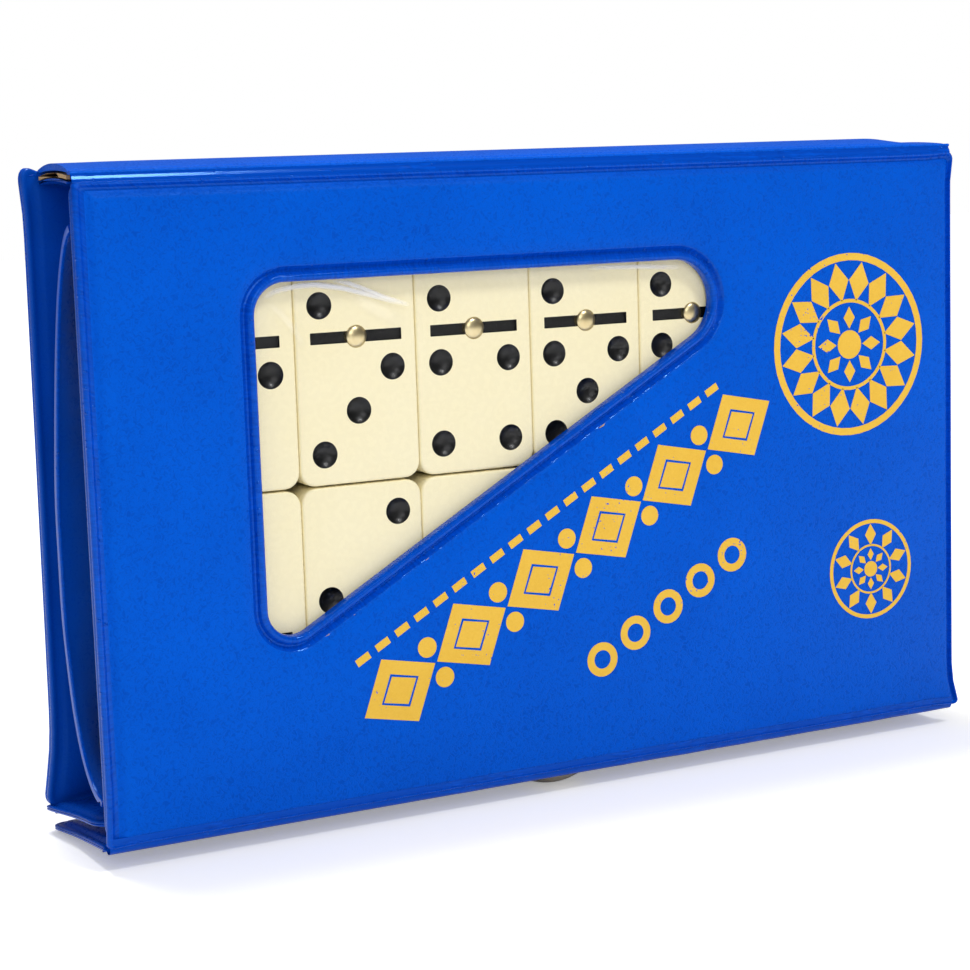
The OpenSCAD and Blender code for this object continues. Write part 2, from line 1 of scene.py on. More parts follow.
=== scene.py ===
import math
import bmesh
import bpy
from mathutils import Matrix, Vector, noise


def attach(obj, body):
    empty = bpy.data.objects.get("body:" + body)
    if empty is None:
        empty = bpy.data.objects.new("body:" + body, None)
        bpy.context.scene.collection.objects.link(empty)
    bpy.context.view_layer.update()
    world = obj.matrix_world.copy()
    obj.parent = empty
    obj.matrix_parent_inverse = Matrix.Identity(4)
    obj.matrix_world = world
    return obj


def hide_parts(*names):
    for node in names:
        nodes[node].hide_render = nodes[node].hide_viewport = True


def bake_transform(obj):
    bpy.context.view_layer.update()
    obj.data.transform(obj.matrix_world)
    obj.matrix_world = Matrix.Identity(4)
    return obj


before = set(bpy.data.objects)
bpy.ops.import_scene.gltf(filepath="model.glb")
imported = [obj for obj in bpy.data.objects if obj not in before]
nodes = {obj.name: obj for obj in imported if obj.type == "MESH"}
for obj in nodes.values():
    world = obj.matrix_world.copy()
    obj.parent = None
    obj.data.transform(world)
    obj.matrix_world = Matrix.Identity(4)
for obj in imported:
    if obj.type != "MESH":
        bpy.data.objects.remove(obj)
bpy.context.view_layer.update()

mm = 0.001
print("frame loaded")

# Small tools


def linear(code):
    # sRGB hex value to linear colour
    parts = [int(code[i:i + 2], 16) / 255 for i in (1, 3, 5)]
    return tuple(c / 12.92 if c <= 0.04045 else ((c + 0.055) / 1.055) ** 2.4 for c in parts) + (1,)


def addNode(tree, kind, inputs=(), **settings):
    made = tree.nodes.new(kind)
    for key, value in settings.items():
        setattr(made, key, value)
    for key, value in dict(inputs).items():
        if isinstance(value, bpy.types.NodeSocket):
            tree.links.new(value, made.inputs[key])
        else:
            made.inputs[key].default_value = value
    return made


def newMaterial(name):
    material = bpy.data.materials.new(name)
    material.use_nodes = True
    tree = material.node_tree
    return material, tree, tree.nodes["Principled BSDF"]


def dress(obj, *materials):
    obj.data.materials.clear()
    for material in materials:
        obj.data.materials.append(material)


# Materials


def makeFinish(name, look):
    # Colour that drifts from patch to patch, over a fine grain in the gloss and the relief; the grain's low
    # places also take the darker colour and its high ones the lighter, a painted shade and highlight on the
    # relief
    material, tree, shader = newMaterial(name)
    place = addNode(tree, "ShaderNodeTexCoord").outputs[look.get("follows", "Object")]
    drawn = addNode(tree, "ShaderNodeMapping", {
        "Vector": place, "Scale": look.get("drawn", (1, 1, 1))}).outputs[0]
    patches = addNode(tree, "ShaderNodeTexNoise", {
        "Vector": place, "Scale": 1 / (look["patch"] * mm), "Detail": 4})
    grain = addNode(tree, "ShaderNodeTexNoise", {
        "Vector": drawn, "Scale": 1 / (look["grain"] * mm), "Detail": 3, "Distortion": look.get("twist", 0)})
    # Noise keeps near its middle, so it is spread to 0 to 1
    spread = addNode(tree, "ShaderNodeMapRange", {
        "Value": grain.outputs["Fac"], "From Min": 0.3, "From Max": 0.7})
    if look.get("ridged"):
        # Folded over at the middle, which gives thin furrows between broad swellings
        fold = addNode(tree, "ShaderNodeMath", {0: spread.outputs[0], 1: 0.5}, operation="PINGPONG")
        spread = addNode(tree, "ShaderNodeMapRange", {
            "Value": fold.outputs[0], "From Min": 0.02, "From Max": 0.5})
    # How far the colour follows the grain, darker in its low places and lighter on its high ones: painted
    # shade and highlight on the relief
    share = addNode(tree, "ShaderNodeMix", {
        "Factor": look["grainTint"], 2: patches.outputs["Fac"], 3: spread.outputs[0]}, data_type="FLOAT")
    tint = addNode(tree, "ShaderNodeMix", {
        "Factor": share.outputs[0], 6: linear(look["shade"]), 7: linear(look["colour"])}, data_type="RGBA")
    rough = addNode(tree, "ShaderNodeMapRange", {
        "Value": spread.outputs[0], "To Min": look["roughness"] + look["uneven"],
        "To Max": look["roughness"] - look["uneven"]})
    bump = addNode(tree, "ShaderNodeBump", {
        "Height": spread.outputs[0], "Strength": look["bump"], "Distance": look["relief"] * mm})
    tree.links.new(tint.outputs[2], shader.inputs["Base Color"])
    tree.links.new(rough.outputs[0], shader.inputs["Roughness"])
    tree.links.new(bump.outputs[0], shader.inputs["Normal"])
    shader.inputs["Specular IOR Level"].default_value = look.get("specular", 0.5)
    shader.inputs["Specular Tint"].default_value = linear(look.get("glint", "#FFFFFF"))
    shader.inputs["Metallic"].default_value = look.get("metallic", 0)
    return material, tree, shader


def overBump(tree, shader, height, high, strength):
    # Relief, high mm tall, laid over the finish's own
    own = shader.inputs["Normal"].links[0].from_socket
    relief = addNode(tree, "ShaderNodeBump", {
        "Height": height, "Distance": high * mm, "Strength": strength, "Normal": own})
    tree.links.new(relief.outputs[0], shader.inputs["Normal"])


# Calendered PVC, embossed with a leather grain of 0.9 mm: deep satin colour, hardly any haze of light; the
# grain's furrows are painted darker and its swellings lighter, as painted shade and highlight
panelVinyl = makeFinish("Embossed PVC vinyl, satin", {
    "colour": "#0060E0", "shade": "#0045B4", "patch": 24, "grain": 0.95, "ridged": True, "twist": 0.9,
    "grainTint": 0.45, "roughness": 0.42, "uneven": 0.1, "relief": 0.05, "bump": 0.8,
    "specular": 0.16, "glint": "#78BEFF"})[0]
# The same sheet melted smooth under the welding die: glossy, with fine ridges across the weld every 0.5 mm,
# painted lighter on their crests and darker between them as painted highlight and shade
weldVinyl, tree, shader = makeFinish("PVC vinyl, pressed in the weld, glossy", {
    "colour": "#0058DA", "shade": "#0036A0", "patch": 9, "grain": 0.5, "drawn": (1, 0.2, 1),
    "follows": "UV", "twist": 0.4, "grainTint": 0.5, "roughness": 0.12, "uneven": 0.04, "relief": 0.03,
    "bump": 0.6, "specular": 0.6, "glint": "#78BEFF"})
# Beads that rose through the die's vents, each with its own glint: their spacing and height in mm, and
# where a bead's top ends and its foot begins, in spacings
weldBeads = {"apart": 1.7, "high": 0.18, "top": 0.06, "foot": 0.2}
place = addNode(tree, "ShaderNodeTexCoord").outputs["UV"]
beads = addNode(tree, "ShaderNodeTexVoronoi", {"Vector": place, "Scale": 1 / (weldBeads["apart"] * mm)})
risen = addNode(tree, "ShaderNodeMapRange", {
    "Value": beads.outputs["Distance"], "From Min": weldBeads["top"], "From Max": weldBeads["foot"],
    "To Min": 1, "To Max": 0}, interpolation_type="SMOOTHSTEP")
overBump(tree, shader, risen.outputs[0], weldBeads["high"], 0.8)
# Inner PVC sheet, with a finer and flatter grain: darker, with a soft sheen
innerVinyl = makeFinish("PVC lining, smooth satin", {
    "colour": "#0450C4", "shade": "#003CA0", "patch": 18, "grain": 0.9, "twist": 0.8, "grainTint": 0.2,
    "roughness": 0.3, "uneven": 0.06, "relief": 0.012, "bump": 0.5, "specular": 0.4, "glint": "#78BEFF"})[0]
# Moulded urea plastic, tumbled smooth: warm ivory that drifts a little, clear soft highlights
tilePlastic = makeFinish("Urea plastic, polished ivory", {
    "colour": "#FFF6D2", "shade": "#FBEFC2", "patch": 22, "grain": 1.4, "grainTint": 0.1, "roughness": 0.27,
    "uneven": 0.05, "relief": 0.003, "bump": 0.4, "specular": 0.35})[0]
# Enamel wiped into the pips and bars: black satin with an orange-peel skin
pipPaint = makeFinish("Enamel paint, satin black", {
    "colour": "#121213", "shade": "#060607", "patch": 3, "grain": 0.35, "grainTint": 0.3, "roughness": 0.36,
    "uneven": 0.08, "relief": 0.006, "bump": 0.5, "specular": 0.5})[0]
# Stamped brass pins, tumbled: pale gold with duller spots
brass, tree, shader = makeFinish("Brass, stamped and polished", {
    "colour": "#FBEDC2", "shade": "#E6CC8E", "patch": 2.2, "grain": 0.4, "grainTint": 0.2, "roughness": 0.34,
    "uneven": 0.04, "relief": 0.0005, "bump": 0.1, "metallic": 1})
# The film leaves no room for the head's full dome, so the rest of it is drawn in the relief
pinDome = {"radius": 2.2, "high": 0.8}
place = addNode(tree, "ShaderNodeTexCoord").outputs["UV"]
high = addNode(tree, "ShaderNodeVectorMath", {0: place}, operation="LENGTH").outputs["Value"]
for operation, a, b in (("DIVIDE", None, pinDome["radius"] * mm), ("POWER", None, 2), ("SUBTRACT", 1.0, None),
                        ("MAXIMUM", None, 0.02), ("SQRT", None, 0)):
    high = addNode(tree, "ShaderNodeMath", {0: high if a is None else a, 1: high if b is None else b},
                   operation=operation).outputs[0]
overBump(tree, shader, high, pinDome["high"], 1)
# Nickelled steel of the press stud: warm grey mirror with a faint haze
nickel = makeFinish("Nickel plate, polished", {
    "colour": "#E4DAC6", "shade": "#C9BDA6", "patch": 5, "grain": 0.5, "grainTint": 0.15, "roughness": 0.16,
    "uneven": 0.05, "relief": 0.002, "bump": 0.4, "metallic": 1})[0]
# Pressed paper fibre, cut: dull brown-grey with fibres of 0.4 mm along the sheet
board = makeFinish("Greyboard, cut edge", {
    "colour": "#D2B48C", "shade": "#A5875F", "patch": 4, "grain": 0.4, "drawn": (1, 1, 3), "grainTint": 0.6,
    "roughness": 0.9, "uneven": 0.05, "relief": 0.1, "bump": 0.8, "specular": 0.1})[0]
# Screen-printed ink: opaque yellow gold, dull, with pinholes where the grain took no ink
goldInk, tree, shader = makeFinish("Screen ink, gold", {
    "colour": "#F7CB52", "shade": "#E9B63C", "patch": 7, "grain": 0.5, "twist": 1, "grainTint": 0.3,
    "roughness": 0.5, "uneven": 0.08, "relief": 0.03, "bump": 0.6, "specular": 0.15})
# Pinholes: the size of the worn places and of a hole in mm, and how high both must add up to bare the vinyl
pinholes = {"worn": 12, "hole": 0.55, "covered": 0.96, "bare": 1.02, "under": "#0652CC"}
place = addNode(tree, "ShaderNodeTexCoord").outputs["Object"]
worn, specks = [addNode(tree, "ShaderNodeTexNoise", {
    "Vector": place, "Scale": 1 / (pinholes[size] * mm), "Detail": 2}) for size in ("worn", "hole")]
blotches = addNode(tree, "ShaderNodeMath", {0: worn.outputs["Fac"], 1: 0.5, 2: specks.outputs["Fac"]},
                   operation="MULTIPLY_ADD")
bare = addNode(tree, "ShaderNodeMapRange", {
    "Value": blotches.outputs[0], "From Min": pinholes["covered"], "From Max": pinholes["bare"]})
tint = shader.inputs["Base Color"].links[0].from_socket
mixed = addNode(tree, "ShaderNodeMix", {
    "Factor": bare.outputs[0], 6: tint, 7: linear(pinholes["under"])}, data_type="RGBA")
tree.links.new(mixed.outputs[2], shader.inputs["Base Color"])

# Clear PVC film, cast: seen only by its shine and by painted highlights, white streaks laid along its folds
# where the lamps would glint
film, tree, shader = newMaterial("PVC film, clear gloss")
# Each painted highlight's attribute holds the distance from its line, in half widths, and its strength there;
# the material paints the film white and less clear along it
shine = None
for letter in "ABCDE":
    marks = addNode(tree, "ShaderNodeAttribute", attribute_name="crease" + letter)
    parts = addNode(tree, "ShaderNodeSeparateXYZ", {0: marks.outputs["Vector"]})
    off = addNode(tree, "ShaderNodeMath", {0: parts.outputs[0]}, operation="ABSOLUTE")
    near = addNode(tree, "ShaderNodeMapRange", {
        "Value": off.outputs[0], "From Max": 1, "To Min": 1, "To Max": 0}, interpolation_type="SMOOTHERSTEP")
    lit = addNode(tree, "ShaderNodeMath", {0: near.outputs[0], 1: parts.outputs[1]}, operation="MULTIPLY")
    if shine:
        lit = addNode(tree, "ShaderNodeMath", {0: shine, 1: lit.outputs[0]}, operation="MAXIMUM")
    shine = lit.outputs[0]
# The film itself hides hardly more than a hundredth of what is behind it
clear = addNode(tree, "ShaderNodeMath", {0: shine, 1: 0.012}, operation="ADD")
white = addNode(tree, "ShaderNodeMapRange", {"Value": shine, "From Max": 0.05})
tree.links.new(clear.outputs[0], shader.inputs["Alpha"])
tree.links.new(white.outputs[0], shader.inputs["Base Color"])
shader.inputs["Roughness"].default_value = 0.08

for name, node in nodes.items():
    if name.startswith("tile"):
        dress(node, tilePlastic)
    elif name.startswith("pins"):
        dress(node, brass)
    elif name.endswith("board"):
        dress(node, board)
    elif name.startswith(("snap", "stud")):
        dress(node, nickel)
    elif name == "window_film":
        dress(node, film)
    else:
        dress(node, innerVinyl if name.endswith("lining") else panelVinyl)
print("materials given")

# Shaping tools


def deselect():
    bpy.ops.object.select_all(action="DESELECT")


def choose(obj):
    deselect()
    obj.select_set(True)
    bpy.context.view_layer.objects.active = obj


def editing(obj):
    choose(obj)
    bpy.ops.object.mode_set(mode="EDIT")


def leaveEditing():
    bpy.ops.object.mode_set(mode="OBJECT")


def selectEdges(obj, chosen, openOnly=False):
    # In edit mode: the edges whose two ends, in mm, are chosen
    bpy.ops.mesh.select_mode(type="EDGE")
    bpy.ops.mesh.select_all(action="DESELECT")
    mesh = bmesh.from_edit_mesh(obj.data)
    for edge in mesh.edges:
        if (edge.is_boundary or not openOnly) and chosen(*[v.co / mm for v in edge.verts]):
            edge.select = True
    bmesh.update_edit_mesh(obj.data)


def applyPlace():
    bpy.ops.object.transform_apply(location=True, rotation=True, scale=True)


def copyOf(obj, placing):
    made = obj.copy()
    made.data = obj.data.copy()
    bpy.context.scene.collection.objects.link(made)
    made.data.transform(placing)
    return made


def shift(x, y, z):
    return Matrix.Translation((x * mm, y * mm, z * mm))


def lengths(points):
    # Running length along a line of points
    total = [0.0]
    for a, b in zip(points, points[1:]):
        total.append(total[-1] + (Vector(b) - Vector(a)).length)
    return total


def wrapGrid(name, rings, finish=(), slots=()):
    # A grid laid over rings of points in mm; its UV map holds real lengths in metres, and slots gives the
    # material of each band between two rings
    rings = [ring + ring[:1] for ring in rings]
    columns, rows = len(rings[0]) - 1, len(rings) - 1
    deselect()
    bpy.ops.mesh.primitive_grid_add(x_subdivisions=columns, y_subdivisions=rows, size=1)
    obj = bpy.context.object
    obj.name = obj.data.name = name
    mesh = obj.data
    spots = [(round((v.co.x + 0.5) * columns), round((v.co.y + 0.5) * rows)) for v in mesh.vertices]
    along = lengths(rings[len(rings) // 2])
    across = lengths([ring[0] for ring in rings])
    uv = mesh.uv_layers[0].data
    for loop in mesh.loops:
        column, row = spots[loop.vertex_index]
        uv[loop.index].uv = (along[column] * mm, across[row] * mm)
    for vertex, (column, row) in zip(mesh.vertices, spots):
        vertex.co = Vector(rings[row][column]) * mm
    dress(obj, *finish)
    for face in mesh.polygons if slots else ():
        face.material_index = slots[min(spots[v][1] for v in face.vertices)]
    editing(obj)
    bpy.ops.mesh.select_all(action="SELECT")
    bpy.ops.mesh.remove_doubles(threshold=0.0005 * mm)
    leaveEditing()
    return obj


def joined(name, *parts):
    deselect()
    for part in parts:
        part.select_set(True)
    bpy.context.view_layer.objects.active = parts[0]
    bpy.ops.object.join()
    bpy.context.object.name = bpy.context.object.data.name = name
    return bpy.context.object


def closeEdges(obj, chosen=lambda place: True):
    # Fills the open edges whose ends are chosen, then turns all faces outwards
    editing(obj)
    selectEdges(obj, lambda a, b: chosen(a) and chosen(b), openOnly=True)
    bpy.ops.mesh.fill(use_beauty=True)
    bpy.ops.mesh.select_all(action="SELECT")
    bpy.ops.mesh.normals_make_consistent(inside=False)
    leaveEditing()


def smooth(obj, degrees=35):
    choose(obj)
    bpy.ops.object.shade_smooth_by_angle(angle=math.radians(degrees))
    return obj


def arc(centre, radius, start, end, count):
    turns = [math.radians(start + (end - start) * i / count) for i in range(count + 1)]
    return [(centre[0] + radius * math.cos(a), centre[1] + radius * math.sin(a)) for a in turns]


def stepped(a, b, count):
    # Points between two points, without the ends
    return [tuple(p + (q - p) * i / count for p, q in zip(a, b)) for i in range(1, count)]


def ease(share):
    share = min(max(share, 0), 1)
    return share * share * (3 - 2 * share)


def wave(seed, x, z, size):
    # Smooth, repeatable unevenness between -1 and 1
    return noise.noise(Vector((x / size + seed * 7.3, z / size, seed * 1.7))) * 1.6


def blockRing(x0, x1, z0, z1, radii, steps=(48, 30), corner=6):
    # Rectangle with four corner radii, from the lower left corner on, clockwise in (x, z)
    places = [(x0, z0, 1, 1, 270, 180), (x0, z1, 1, -1, 180, 90),
              (x1, z1, -1, -1, 90, 0), (x1, z0, -1, 1, 0, -90)]
    corners = [arc((x + sx * r, z + sz * r), r, start, end, corner)
               for (x, z, sx, sz, start, end), r in zip(places, radii)]
    ring = []
    for i, points in enumerate(corners):
        ring += points + stepped(points[-1], corners[(i + 1) % 4][0], steps[1 - i % 2])
    return ring


def windowRing(margin, steps=(44, 60, 130)):
    # Outline of the window, grown by a margin, from the left side on, clockwise in (x, z)
    w = window
    low = w["slope"] - 90
    arcs = [arc(w["corner"], w["cornerR"] + margin, 180, 90, 12),
            arc(w["tip"], w["tipR"] + margin, 90, low, 18),
            arc(w["foot"], w["footR"] + margin, low, -180, 16)]
    ring = []
    for i, points in enumerate(arcs):
        ring += points + stepped(points[-1], arcs[(i + 1) % 3][0], steps[(i + 1) % 3])
    return ring


# Places in the case, in mm

case = {"left": -96.05, "right": 96.05, "low": 5.749, "high": 124.049, "front": -17.364, "cover": 3.0}
window = {"corner": (case["left"] + 39, case["high"] - 25.5), "cornerR": 6,
          "tip": (case["left"] + 123.2, case["high"] - 27.8), "tipR": 8.3,
          "foot": (case["left"] + 38.1, case["high"] - 79.82), "footR": 5.1, "slope": 29.6}
# Each fold's place in (y, z), and the turn of the panel that hangs from it
folds = {"front": (case["front"], 0, 0), "flap": (-15.689, 4.599, -5.5), "spine": (-16.064, 125.049, 0),
         "back": (12.336, 125.049, 1.7), "strip": (15.903, 4.873, -5.5)}


def atFold(fold, x, y, z):
    # A point given from a fold, turned with its panel, to its place in the model
    y0, z0, turn = folds[fold]
    a = math.radians(turn)
    return (x, y0 + y * math.cos(a) - z * math.sin(a), z0 + y * math.sin(a) + z * math.cos(a))


def fromFold(fold, place):
    # The other way round: (y, z) seen from the fold
    y0, z0, turn = folds[fold]
    a = math.radians(turn)
    y, z = place[1] - y0, place[2] - z0
    return (y * math.cos(a) + z * math.sin(a), z * math.cos(a) - y * math.sin(a))


# Covers: vinyl pressed over board

# Sections of a welded edge, from the board's hollow round the edge to the field:
# distance from the edge, depth below the face
coverEdge = [(3.05, 0.62), (3.0, 1.5), (0.3, 1.5), (0.06, 1.25), (0.0, 0.9), (0.1, 0.5), (0.32, 0.24),
             (0.65, 0.14), (0.95, 0.22), (1.2, 0.5), (1.45, 0.82), (1.8, 0.98), (2.3, 0.96), (2.7, 0.8),
             (3.1, 0.56), (3.6, 0.26), (4.1, 0.08), (4.7, 0.0)]
flangeEdge = [(3.05, 0.62), (3.0, 1.5), (0.2, 1.5), (0.05, 1.4), (0.0, 1.2), (0.1, 0.95), (0.35, 0.8),
              (0.8, 0.78), (1.1, 0.95), (1.4, 0.9), (1.8, 0.5), (2.3, 0.16), (3.0, 0.0)]
flatEdge = [(3.05, 0.62), (3.0, 1.5), (0.2, 1.5), (0.05, 1.2), (0.0, 0.8), (0.08, 0.4), (0.25, 0.15),
            (0.55, 0.05), (0.9, 0.12), (1.2, 0.25), (1.6, 0.28), (2.2, 0.24), (2.8, 0.1), (3.4, 0.0)]
windowEdge = [(3.05, 0.62), (3.0, 1.5), (0.62, 1.5), (0.55, 2.62), (0.05, 2.62), (0.0, 1.4), (0.08, 0.85),
              (0.3, 0.45), (0.65, 0.24), (1.05, 0.24), (1.4, 0.45), (1.65, 0.95), (1.85, 1.3), (2.15, 1.4),
              (2.45, 1.2), (2.75, 0.75), (3.0, 0.5), (3.7, 0.3), (4.4, 0.12), (5.4, 0.0)]
liningWindow = [(3.05, 0.62), (3.0, 1.45), (0.65, 1.45), (0.6, 0.36), (1.2, 0.33), (2.05, 0.33), (2.2, 0.1),
                (2.7, 0.0)]
# Where the smooth weld ends, on edges and on the window, the width of a pressed-back edge and the depth where
# it stops, how far apart the vinyl's slow waves are, and how much the corners sharpen towards the field
press = {"weld": 2.2, "windowWeld": 2.8, "leanWidth": 2.6, "behind": 1.45, "waveSize": 14, "sharper": 0.5}


# Cross folds along the window's long side: from where to where along it, their depth, the last smooth ring of
# points, where they begin and how wide they are; elsewhere the pressed ring is slightly uneven
wrinkles = {"from": 2, "to": 92, "deep": 0.17, "smooth": 8, "margin": 0.8, "width": 4.4, "elsewhere": 0.03}


def wrinkle(x, z, margin):
    w = window
    a = math.radians(w["slope"])
    along = (x - w["foot"][0]) * math.cos(a) + (z - w["foot"][1]) * math.sin(a)
    off = (x - w["foot"][0]) * math.sin(a) - (z - w["foot"][1]) * math.cos(a)
    if off < w["footR"] or not wrinkles["from"] < along < wrinkles["to"]:
        return wrinkles["elsewhere"] * wave(5, x, z, 5)
    deep = wrinkles["deep"] * math.sin(math.pi * max(margin - wrinkles["margin"], 0) / wrinkles["width"])
    return deep * (wave(3, along, off * 0.25, 1.4) + 0.5 * wave(4, along, off * 0.3, 4.5))


def makePanel(name, fold, face, sense, box, radii, scales, section, hole=(), lies=False, thin=1.0,
              uneven=0.0, steps=(48, 30), seed=1, ears=(), lean=0.0):
    # box is x0, x1 and the two ends along the fold's panel; scales are for left, right, far and near side;
    # ears are corners where the weld was squeezed out: place, push and reach; lean is how far back the far
    # edge was pressed
    x0, x1, v0, v1 = box

    def place(x, depth, v):
        level = face + sense * depth * thin
        leaned = depth + lean * max(0, 1 - (v1 - v) / press["leanWidth"])
        depth = min(leaned, max(depth, press["behind"]))
        for (earX, earV), (pushX, pushV), reach in ears:
            share = math.exp(-((x - earX) ** 2 + (v - earV) ** 2) / reach ** 2)
            x, v = x + pushX * share, v + pushV * share
        return atFold(fold, x, v, level) if lies else atFold(fold, x, level, v)

    def atDepth(depth):
        level = face + sense * depth * thin
        return lambda p: abs(fromFold(fold, p)[1 if lies else 0] - level) < 0.002

    rings = []
    for inset, depth in section:
        left, right, far, near = [inset * s for s in scales]
        rounds = [max(a - press["sharper"] * inset, 0.5) for a in radii]
        ring = blockRing(x0 + left, x1 - right, v0 + near, v1 - far, rounds, steps)
        wavy = 0 if depth in (section[0][1], section[-1][1]) else uneven
        rings.append([place(x, depth + wavy * wave(seed, x, v, press["waveSize"]), v) for x, v in ring])
    finish = (innerVinyl,) * 2 if name.endswith("Lining") else (panelVinyl, weldVinyl)
    parts = [wrapGrid(name, rings, finish, [int(inset < press["weld"]) for inset, depth in section])]
    if hole:
        rings = []
        for i, (margin, depth) in enumerate(hole):
            wavy = wrinkles["smooth"] < i < len(hole) - 1
            rings.append([place(x, depth + wavy * wrinkle(x, v, margin), v) for x, v in windowRing(margin)])
        bands = [int(margin < press["windowWeld"]) for margin, depth in hole]
        parts.append(wrapGrid("hole", rings, finish, bands))
    panel = joined(name, *parts)
    closeEdges(panel, atDepth(section[0][1]))
    closeEdges(panel, atDepth(section[-1][1]))
    return smooth(panel)


whole = (case["left"], case["right"], case["low"], case["high"])
frontBox = (case["left"], case["right"], case["low"] - 1.0, case["high"])
frontEars = [((case["right"], case["low"]), (1.6, -0.5), 3.5),
             ((case["right"], case["high"]), (0.9, 0.4), 3.5),
             ((case["left"], case["low"]), (-0.3, -0.3), 4)]
frontVinyl = makePanel("frontVinyl", "front", 0, 1, frontBox, (1.2, 1.0, 2.2, 1.2), (1, 0.45, 0.75, 0.45),
                       coverEdge, windowEdge, lean=0.9, uneven=0.03, ears=frontEars)
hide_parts("front_skin")
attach(frontVinyl, "front_cover")
plainRadii, plainScales = (2.5,) * 4, (1, 0.6, 0.6, 0.6)
frontLining = makePanel("frontLining", "front", case["cover"], -1, whole, plainRadii, plainScales, flatEdge,
                        liningWindow)
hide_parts("front_lining")
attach(frontLining, "front_cover")

backBox = (case["left"], case["right"], -118.93, -1.0)
backEars = [((case["left"], -1.0), (-0.8, 3.2), 4.5), ((case["left"], -118.93), (-1.7, -1.4), 8)]
backVinyl = makePanel("backVinyl", "back", 1.5, -1, backBox, plainRadii, plainScales, coverEdge,
                      uneven=0.03, seed=2, ears=backEars)
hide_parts("back_skin")
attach(backVinyl, "back_cover")
backLining = makePanel("backLining", "back", -1.5, 1, backBox, plainRadii, plainScales, flatEdge,
                       ears=backEars)
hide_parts("back_lining")
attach(backLining, "back_cover")

# Flaps, from their fold to their tip; the strip is laid the other way
flaps = {"flap": {"body": "closing_flap", "ends": (1.9, 31.37), "radii": (0.6, 2.5, 2.5, 0.6),
                  "ear": ((case["left"], 31.37), (-0.8, 0.6), 8), "low": -1.6, "high": 0.6},
         "strip": {"body": "stud_strip", "ends": (-28.8, -1.2), "radii": (7, 0.6, 0.6, 7),
                   "ear": ((case["left"], -1.2), (-1.7, 1.2), 9), "low": -1.1, "high": 1.1}}
for name, flap in flaps.items():
    box = (case["left"], case["right"], *flap["ends"])
    for layer, node, level, sense in (("Vinyl", "_skin", "low", 1), ("Lining", "_lining", "high", -1)):
        sheet = makePanel(name + layer, name, flap[level], sense, box, flap["radii"], (0.9,) * 4, flangeEdge,
                          lies=True, thin=0.73, steps=(48, 10), ears=[flap["ear"]])
        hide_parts(name + node)
        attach(sheet, flap["body"])
print("covers and flaps made")

# Spine and folds

spine = {"skew": 2.6, "skewLength": 25, "pinched": 14, "span": 28.4, "radius": 61.9, "top": 2.35, "step": 3.0,
         "uneven": 0.06, "boardEnd": 85.0, "flatFrom": 84.0, "flatTo": 90.0, "flatRise": 0.4}


def spineLevel(y):
    # Height of the spine's bow above the fold's middle
    return spine["top"] - spine["radius"] + math.sqrt(spine["radius"] ** 2 - (y - spine["span"] / 2) ** 2)


def spineRise(x):
    # Share of the bow that is left past the board's right end
    return 1 - (1 - spine["flatRise"]) * ease((x - spine["flatFrom"]) / (spine["flatTo"] - spine["flatFrom"]))


def between(start, end, step):
    count = max(1, round((end - start) / step))
    return [start + (end - start) * i / count for i in range(count + 1)]


def tube(name, sections):
    # Closed sections one after another, with both ends closed
    obj = wrapGrid(name, sections)
    closeEdges(obj)
    return smooth(obj, 40)


def bowed(name, top, bottom, ends, x0, x1, flat, seed):
    # Layer of the spine between two paths of (y, z) from the spine's first fold; z past ends is the bow, and
    # flat is what is left of the upper and the lower path's bow at the open left end, which also slants
    sections = []
    for x in between(x0, x1, spine["step"]):
        full = ease((x - case["left"]) / spine["pinched"])
        tall, low = [(share + (1 - share) * full) * spineRise(x) for share in flat]
        ring = [(y, z, tall) for y, z in top] + [(y, z, low) for y, z in reversed(bottom)]
        aside = spine["skew"] * (1 - ease((x - case["left"]) / spine["skewLength"])) / spine["span"]
        uneven = spine["uneven"] * ends
        sections.append([atFold("spine", x + aside * max(y, 0), y + uneven * wave(seed, x, y, 9),
                                ends + (z - ends) * lift if z > ends else z) for y, z, lift in ring])
    return tube(name, sections)


def bowPath(depth, y0, y1, count=24):
    places = [y0 + (y1 - y0) * i / count for i in range(count + 1)]
    return [(y, spineLevel(y) - depth) for y in places]


spineTop = [(-0.35, 0.1), (-0.6, 0.4), (-0.45, 0.72), (-0.05, 0.88), (0.4, 0.84), (0.75, 0.66), (1.1, 0.62),
            (1.5, 0.86)] + bowPath(0, 2.0, 26.0) + [(26.4, 0.86), (26.8, 0.6), (27.1, 0.58), (27.4, 0.5)]
spineUnder = [(-0.1, 0.15), (0.0, 0.2), (0.1, 0.25), (0.2, 0.28), (0.4, 0.24), (0.75, 0.16), (1.1, 0.12),
              (1.5, 0.26)] + bowPath(0.6, 2.0, 26.0) + [(26.4, 0.26), (26.8, 0.1), (27.1, 0.1), (27.35, 0.1)]
# Vinyl, then board, which stops short of the right end, then lining
left, right = case["left"], case["right"]
for name, node, finish, top, bottom, ends, x0, x1, flat, seed in (
        ("spineVinyl", "spine_skin", panelVinyl, spineTop, spineUnder, 0.6, left, right, (0.95, 0.35), 1),
        ("spineBoard", "spine_board", board, bowPath(0.62, 2.6, 26.0), bowPath(1.9, 2.6, 26.0), -0.6,
         left + 0.05, spine["boardEnd"], (0.5, 0.42), 0),
        ("spineLining", "spine_lining", innerVinyl, bowPath(1.95, 2.4, 26.3), bowPath(2.5, 2.4, 26.3), -1.6,
         left, right, (0.6, 0.5), 2)):
    layer = bowed(name, top, bottom, ends, x0, x1, flat, seed)
    dress(layer, finish)
    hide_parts(node)
    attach(layer, "spine")


